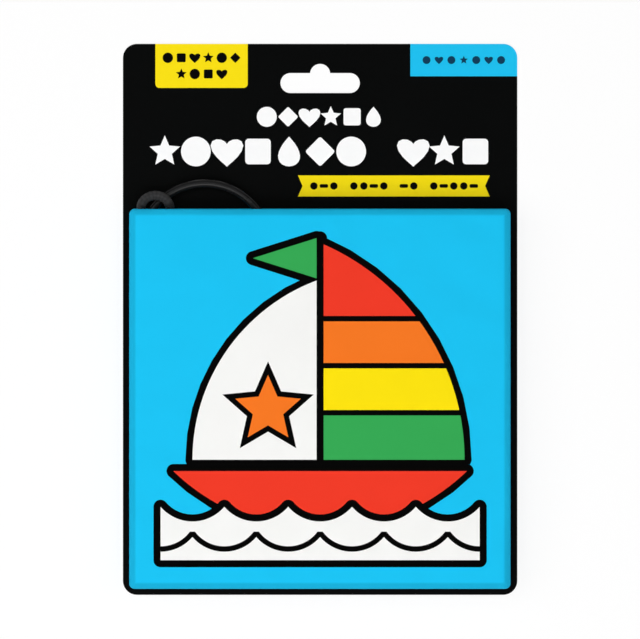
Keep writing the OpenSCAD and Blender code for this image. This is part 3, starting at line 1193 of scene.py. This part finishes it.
@dataclass
class Spine:
    """Strip of cloth that closes the book on its left, its stitching, and the tapes at both covers.

    A stitch's profile is its places along the stitch, as parts of its length, and its thickness there.
    The tape's points are places inside the spine's outer face, and heights from its edge or the crease.
    """

    pinch: float = 0.32
    section_points: int = 49
    rounding: float = 0.55
    fill: float = 0.3
    rows: int = 160
    stitch: float = 2.3
    stitch_pitch: float = 3.1
    stitch_margin: float = 2.5
    stitch_sag: float = 0.12
    stitch_along: tuple[float, ...] = (-0.5, -0.47, -0.38, -0.2, 0.2, 0.38, 0.47, 0.5)
    stitch_thick: tuple[float, ...] = (0.05, 0.5, 0.85, 1.0, 1.0, 0.85, 0.5, 0.05)
    stitch_around: int = 6
    thread_r: float = 0.17
    tape_t: float = 0.24
    tape_margin: float = 0.6
    tape_from_edge: tuple[tuple[float, float], ...] = ((0.2, -1.6), (0.16, -0.6), (0.16, 0.1))
    tape_from_crease: tuple[tuple[float, float], ...] = ((0.2, -0.9), (0.26, -0.5), (0.34, -0.2), (0.4, 0.0))

    def lines(self) -> tuple[float, float]:
        """Heights of the two seams that hold the inner leaves: the leaves' middles."""
        low, high = (corner[2] for corner in corners("pages"))
        return low + (high - low) / 4, high - (high - low) / 4

    def section(self, low: np.ndarray, high: np.ndarray) -> np.ndarray:
        """Closed outline of the strip across its height.

        The outer face swells between the seam lines: its pinch is the absolute cosine of the place
        between two lines, so that it is deepest at each line.

        Args:
            low: Lowest corner of the spine, in millimetres.
            high: Its highest corner.

        Returns:
            Places across and up, from the foot up the outer face and down the inner one.
        """
        first, second = self.lines()
        z = np.linspace(low[2], high[2], self.section_points)
        round_end = np.clip(np.minimum(z - low[2], high[2] - z) / self.rounding, 0, 1)
        cap = np.sqrt(1 - (1 - round_end) ** 2)
        middle = (low[0] + high[0]) / 2
        fold = np.abs(np.cos((z - first) * math.pi / (second - first))) ** 6
        outer = middle - (middle - low[0] - self.pinch * fold) * cap
        inner = middle + (high[0] - middle) * cap
        return np.vstack([np.stack([outer, z], -1), np.stack([inner, z], -1)[::-1][1:-1]])

    def build(self) -> None:
        """Makes the strip, its stitches and the tapes."""
        low, high = corners("spine")
        outline = self.section(low, high)
        across, z = outline.T
        middle = (low[0] + high[0]) / 2
        y = np.linspace(low[1], high[1], self.rows)[:, None]
        wobble = 0.04 * np.sin(y * 0.9) * np.sin(y * 0.37 + 1.0)
        ends = np.clip(np.minimum(y - low[1], high[1] - y) / 0.5, 0.12, 1)
        x = middle + (across - middle) * ends + wobble * (across < middle)
        points = np.stack(np.broadcast_arrays(x, y, z), -1).reshape(-1, 3)
        cloth = np.stack(np.broadcast_arrays(length_along(outline), y, np.zeros_like(x)), -1)
        faces = tube_faces(self.rows, len(outline))[:, ::-1]
        strip = write_mesh("spine_cloth", points, faces, {WEAVE: cloth.reshape(-1, 3) * MM})
        finish = WovenCloth("spine_cloth", Hue.SKY).material()
        enter(strip, finish, Body.BOOK, "spine")
        self.sew(low, high)
        crease = sum(corners("front_cover"))[2] / 2
        hinge = self.tape("hinge_tape", None, (low, high), high[2], crease)
        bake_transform(hinge)
        self.tape("back_tape", Body.BOOK, (low, high), low[2], sum(corners("back_cover"))[2] / 2)

    def sew(self, low: np.ndarray, high: np.ndarray) -> None:
        """Lays two rows of stitches in the outer face's folds, each stitch a small capsule.

        Args:
            low: Lowest corner of the spine, in millimetres.
            high: Its highest corner.
        """
        around = np.linspace(0, TURN, self.stitch_around + 1)[:-1]
        along = np.array(self.stitch_along)[:, None] * self.stitch
        thick = np.array(self.stitch_thick)[:, None] * self.thread_r
        sag = self.stitch_sag * (np.abs(along) / self.stitch * 2) ** 3
        ring = (thick * np.cos(around) + sag, along, thick * np.sin(around))
        capsule = np.stack(np.broadcast_arrays(*ring), -1).reshape(-1, 3)
        y = np.arange(low[1] + self.stitch_margin, high[1] - self.stitch_margin, self.stitch_pitch)
        grid = np.meshgrid([low[0] + self.pinch - 0.02], y, self.lines(), indexing="ij")
        centres = np.stack(grid, -1).reshape(-1, 1, 3)
        points = (centres + capsule).reshape(-1, 3)
        starts = np.arange(len(centres))[:, None, None] * len(capsule)
        faces = (starts + tube_faces(len(along), self.stitch_around)).reshape(-1, 4)
        thread = write_mesh("spine_stitches", points, faces, {WEAVE: points[:, [1, 2, 0]] * MM})
        finish = WovenCloth("sewing_thread", Hue.THREAD, thread=0.09).material()
        enter(thread, finish, Body.BOOK)

    def tape(
        self, name: str, body: Body | None, box: tuple[np.ndarray, np.ndarray], edge: float, crease: float
    ) -> bpy.types.Object:
        """Thin cloth that joins the spine's cloth to a cover's crease.

        Its section runs inside the spine's outer face, past its edge, and ends in the crease.

        Args:
            name: The tape's name.
            body: The body that it rides on, or None where it rides on none.
            box: Lowest and highest corner of the spine, in millimetres.
            edge: Height of the spine's edge beside the cover.
            crease: Height of the cover's crease.

        Returns:
            The tape.
        """
        low, high = box
        way = math.copysign(1.0, crease - edge)
        legs = ((edge, self.tape_from_edge), (crease, self.tape_from_crease))
        path = np.array([(low[0] + inside, level + way * up) for level, leg in legs for inside, up in leg])
        half = [self.tape_t / 2, 0]
        outline = np.vstack([path - half, (path + half)[::-1]])
        y = np.linspace(low[1] + self.tape_margin, high[1] - self.tape_margin, self.rows)[:, None]
        x = outline[:, 0] + 0.03 * np.sin(y * 1.3)
        points = np.stack(np.broadcast_arrays(x, y, outline[:, 1]), -1).reshape(-1, 3)
        faces = tube_faces(self.rows, len(outline))
        if way > 0:
            faces = faces[:, ::-1]
        tape = write_mesh(name, points, faces, {WEAVE: points[:, [2, 1, 0]] * MM})
        enter(tape, WovenCloth(name, Hue.SKY).material(), body)
        return tape


@dataclass
class CordLoop:
    """Braided cord that leaves the back cover's seam flat, arches over the ring and comes back."""

    eye: tuple[float, float] = LOOP_EYE
    half_width: float = 5.35
    out: float = 4.8
    rise: float = 5.875
    steepness: int = 30
    low: float = 2.8
    cord_r: float = 1.775
    tail: float = 4.0
    tail_half: float = 0.27
    tail_steps: int = 24
    strands: int = 4
    braid_pitch: float = 2.7
    around: int = 64
    steps: int = 260

    def path(self) -> np.ndarray:
        """Middle of the cord: half an ellipse seen from above, with a straight tail at both ends.

        It climbs by one minus a high power of the cosine.

        Returns:
            Its points, in millimetres.
        """
        angle = np.linspace(0, math.pi, self.steps)
        across = self.eye[0] + self.half_width * np.cos(angle)
        up = self.eye[1] + self.out * np.sin(angle)
        arch = np.stack([across, up, self.low + self.rise * (1 - np.cos(angle) ** self.steepness)], -1)
        run = np.linspace(-self.tail, -0.1, self.tail_steps)[:, None] * np.array([0.0, 1.0, 0.0])
        return np.vstack([arch[0] + run, arch, (arch[-1] + run)[::-1]])

    def build(self) -> None:
        """Carries the section along the path, flattened in the seam, with the braid's diamonds on it.

        The braid's height is half of one plus the product of two cosines that wind opposite ways.
        """
        path = self.path()
        ahead = np.gradient(path, axis=0)
        ahead /= np.linalg.norm(ahead, axis=1)[:, None]
        side = np.cross(ahead, [0.0, 0.0, 1.0])
        side /= np.linalg.norm(side, axis=1)[:, None]
        up = np.cross(side, ahead)
        length = length_along(path)
        from_end = np.minimum(length, length[-1] - length)
        full = ease((from_end - self.tail + 0.3) / 2.4)
        tall = self.tail_half + (self.cord_r - self.tail_half) * full
        angle = np.arange(self.around) / self.around * TURN
        wind = TURN * length[:, None] / self.braid_pitch
        braid = 0.5 + 0.5 * np.cos(self.strands * angle + wind) * np.cos(self.strands * angle - wind)
        swell = 0.9 + 0.1 * np.sqrt(braid)
        across = self.cord_r * swell * np.cos(angle)
        over = tall[:, None] * swell * np.sin(angle)
        points = path[:, None, :] + across[..., None] * side[:, None, :] + over[..., None] * up[:, None, :]
        cloth = np.broadcast_arrays(angle[None, :] * self.cord_r, length[:, None], np.zeros_like(braid))
        # The dip mark carries the painted shade between the braid's strands.
        marks = {WEAVE: np.stack(cloth, -1).reshape(-1, 3) * MM, DIP_SHADE: (1 - braid).ravel()}
        cord = write_mesh("cord_loop", points.reshape(-1, 3), tube_faces(len(path), self.around), marks)
        enter(cord, BraidedCord("braided_cord").material(), Body.BOOK, "ring_loop")
        log.info("cord loop: %.1f mm long", length[-1])


@dataclass
class SnapRing:
    """Snap ring, its gate and the gate's pin."""

    def build(self) -> None:
        """Dresses smooth copies of the ring and its gate, and the CAD pin."""
        plastic = MouldedPlastic("ring_plastic", sum(corners("ring_body"))[2] / 2).material()
        enter(merged_copy("ring_body", "ring_moulding"), plastic, Body.RING, "ring_body")
        enter(merged_copy("ring_gate", "gate_moulding"), plastic, Body.GATE, "ring_gate")
        steel = CloudedFinish("pin_steel", Hue.STEEL, (0.3, 0.3, 0.31, 1.0), 0.2, 0.004, metal=1.0)
        dress(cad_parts["gate_pin"], steel.material())
        log.info("gate pin: CAD node with steel")


@dataclass
class HangCard:
    """The board and its print, whose CAD shapes are right as they are."""

    black_gloss: float = 0.03
    colour_gloss: float = 0.1

    def build(self) -> None:
        """Dresses the board, the print on it and the glue."""
        low, high = corners("hang_card")
        glue = CloudedFinish("hot_glue", Hue.GLUE, (0.55, 0.5, 0.38, 1.0), 2.5, 0.05, gloss=0.4)
        finishes = {"hang_card": CoatedBoard("black_board", high[2] - low[2]), "glue_dots": glue}
        for colour, hue in CARD_INKS.items():
            gloss = self.black_gloss if hue is Hue.INK else self.colour_gloss
            finishes[f"card_print_{colour}"] = PrintedInk(f"ink_{colour}", hue, gloss)
        for node, finish in finishes.items():
            dress(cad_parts[node], finish.material())
        log.info("hanging card: board, five inks and glue")


@dataclass(frozen=True)
class SoftBox:
    """A rectangular lamp that looks at the object."""

    name: str
    azimuth: float
    zenith: float
    share: float
    width: float = 1.2
    depth: float = 1.2
    distance: float = 1.5

    def build(self) -> None:
        """Places the lamp, with the power that gives its share of the light on a level sheet."""
        lamp = bpy.data.lights.new(self.name, "AREA")
        lamp.shape = "RECTANGLE"
        lamp.size = self.width
        lamp.size_y = self.depth
        slant = math.radians(self.zenith)
        turn = math.radians(self.azimuth)
        lamp.energy = self.share * math.pi**2 * self.distance**2 / math.cos(slant)
        holder = add_object(self.name, lamp)
        holder.location = (
            self.distance * math.sin(slant) * math.cos(turn),
            self.distance * math.sin(slant) * math.sin(turn),
            self.distance * math.cos(slant),
        )
        holder.rotation_euler = (0.0, slant, turn)


@dataclass
class Studio:
    """Floor, lamps, surroundings and camera."""

    picture_width: int = 640
    pixel: float = 0.3703
    centre: tuple[float, float] = (-0.04, -0.05)
    lens: float = 800.0
    sensor: float = 36.0
    floor_half: float = 8.0
    floor_height: float = -0.05
    greys: tuple[tuple[float, float], ...] = ((0.0, 0.9), (0.12, 0.7), (0.3, 0.2), (0.6, 0.03))
    lamps: tuple[SoftBox, ...] = (
        SoftBox("low_softbox", -90.0, 28.0, 0.43, 1.0, 1.0),
        SoftBox("left_softbox", 180.0, 36.0, 0.37),
        SoftBox("right_softbox", 0.0, 36.0, 0.12),
        SoftBox("high_softbox", 90.0, 36.0, 0.07),
        SoftBox("high_strip", 90.0, 12.0, 0.07, 0.12),
    )

    def build(self) -> None:
        """Makes the whole set round the object."""
        self.camera()
        self.floor()
        for lamp in self.lamps:
            lamp.build()
        self.surroundings()
        bpy.context.scene.view_settings.view_transform = "Standard"
        log.info("studio: %d lamps", len(self.lamps))

    def camera(self) -> None:
        """Looks straight down through a long lens that frames the photograph's width at the card."""
        view = bpy.data.cameras.new("camera")
        view.lens = self.lens
        view.sensor_width = self.sensor
        view.clip_end = 100.0
        holder = add_object("camera", view)
        away = self.picture_width * self.pixel * MM * self.lens / self.sensor
        holder.location = (self.centre[0] * MM, self.centre[1] * MM, away)
        bpy.context.scene.camera = holder

    def floor(self) -> None:
        """A wide level sheet of paper just under the card."""
        square = np.array([[-1, -1], [1, -1], [1, 1], [-1, 1]]) * self.floor_half / MM
        points = np.column_stack([square, np.full(4, self.floor_height)])
        sheet = write_mesh("studio_floor", points, np.array([[0, 1, 2, 3]]), {})
        dress(sheet, StudioPaper("studio_paper").material())

    def surroundings(self) -> None:
        """Pale towards the horizon and dark overhead, where the camera stands."""
        world = bpy.data.worlds.new("studio")
        r = Recipe(world)
        height = r.axis(r.node("ShaderNodeTexCoord", output="Generated"), "Z")
        stops = [(position, (grey, grey, grey, 1.0)) for position, grey in self.greys]
        ramp = r.node("ShaderNodeValToRGB", {"stops": stops}, {"Fac": height}, "Color")
        sky = r.node("ShaderNodeBackground", inputs={"Color": ramp})
        r.end(sky, "ShaderNodeOutputWorld")
        bpy.context.scene.world = world


def main() -> None:
    """Builds the set and then each sub-assembly."""
    logging.basicConfig(level=logging.INFO, format="%(name)s: %(message)s")
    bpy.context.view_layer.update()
    Studio().build()
    HangCard().build()
    BackCover().build()
    InnerLeaves().build()
    Spine().build()
    CordLoop().build()
    SnapRing().build()
    FrontCover().build()


if __name__ == "__main__":
    main()
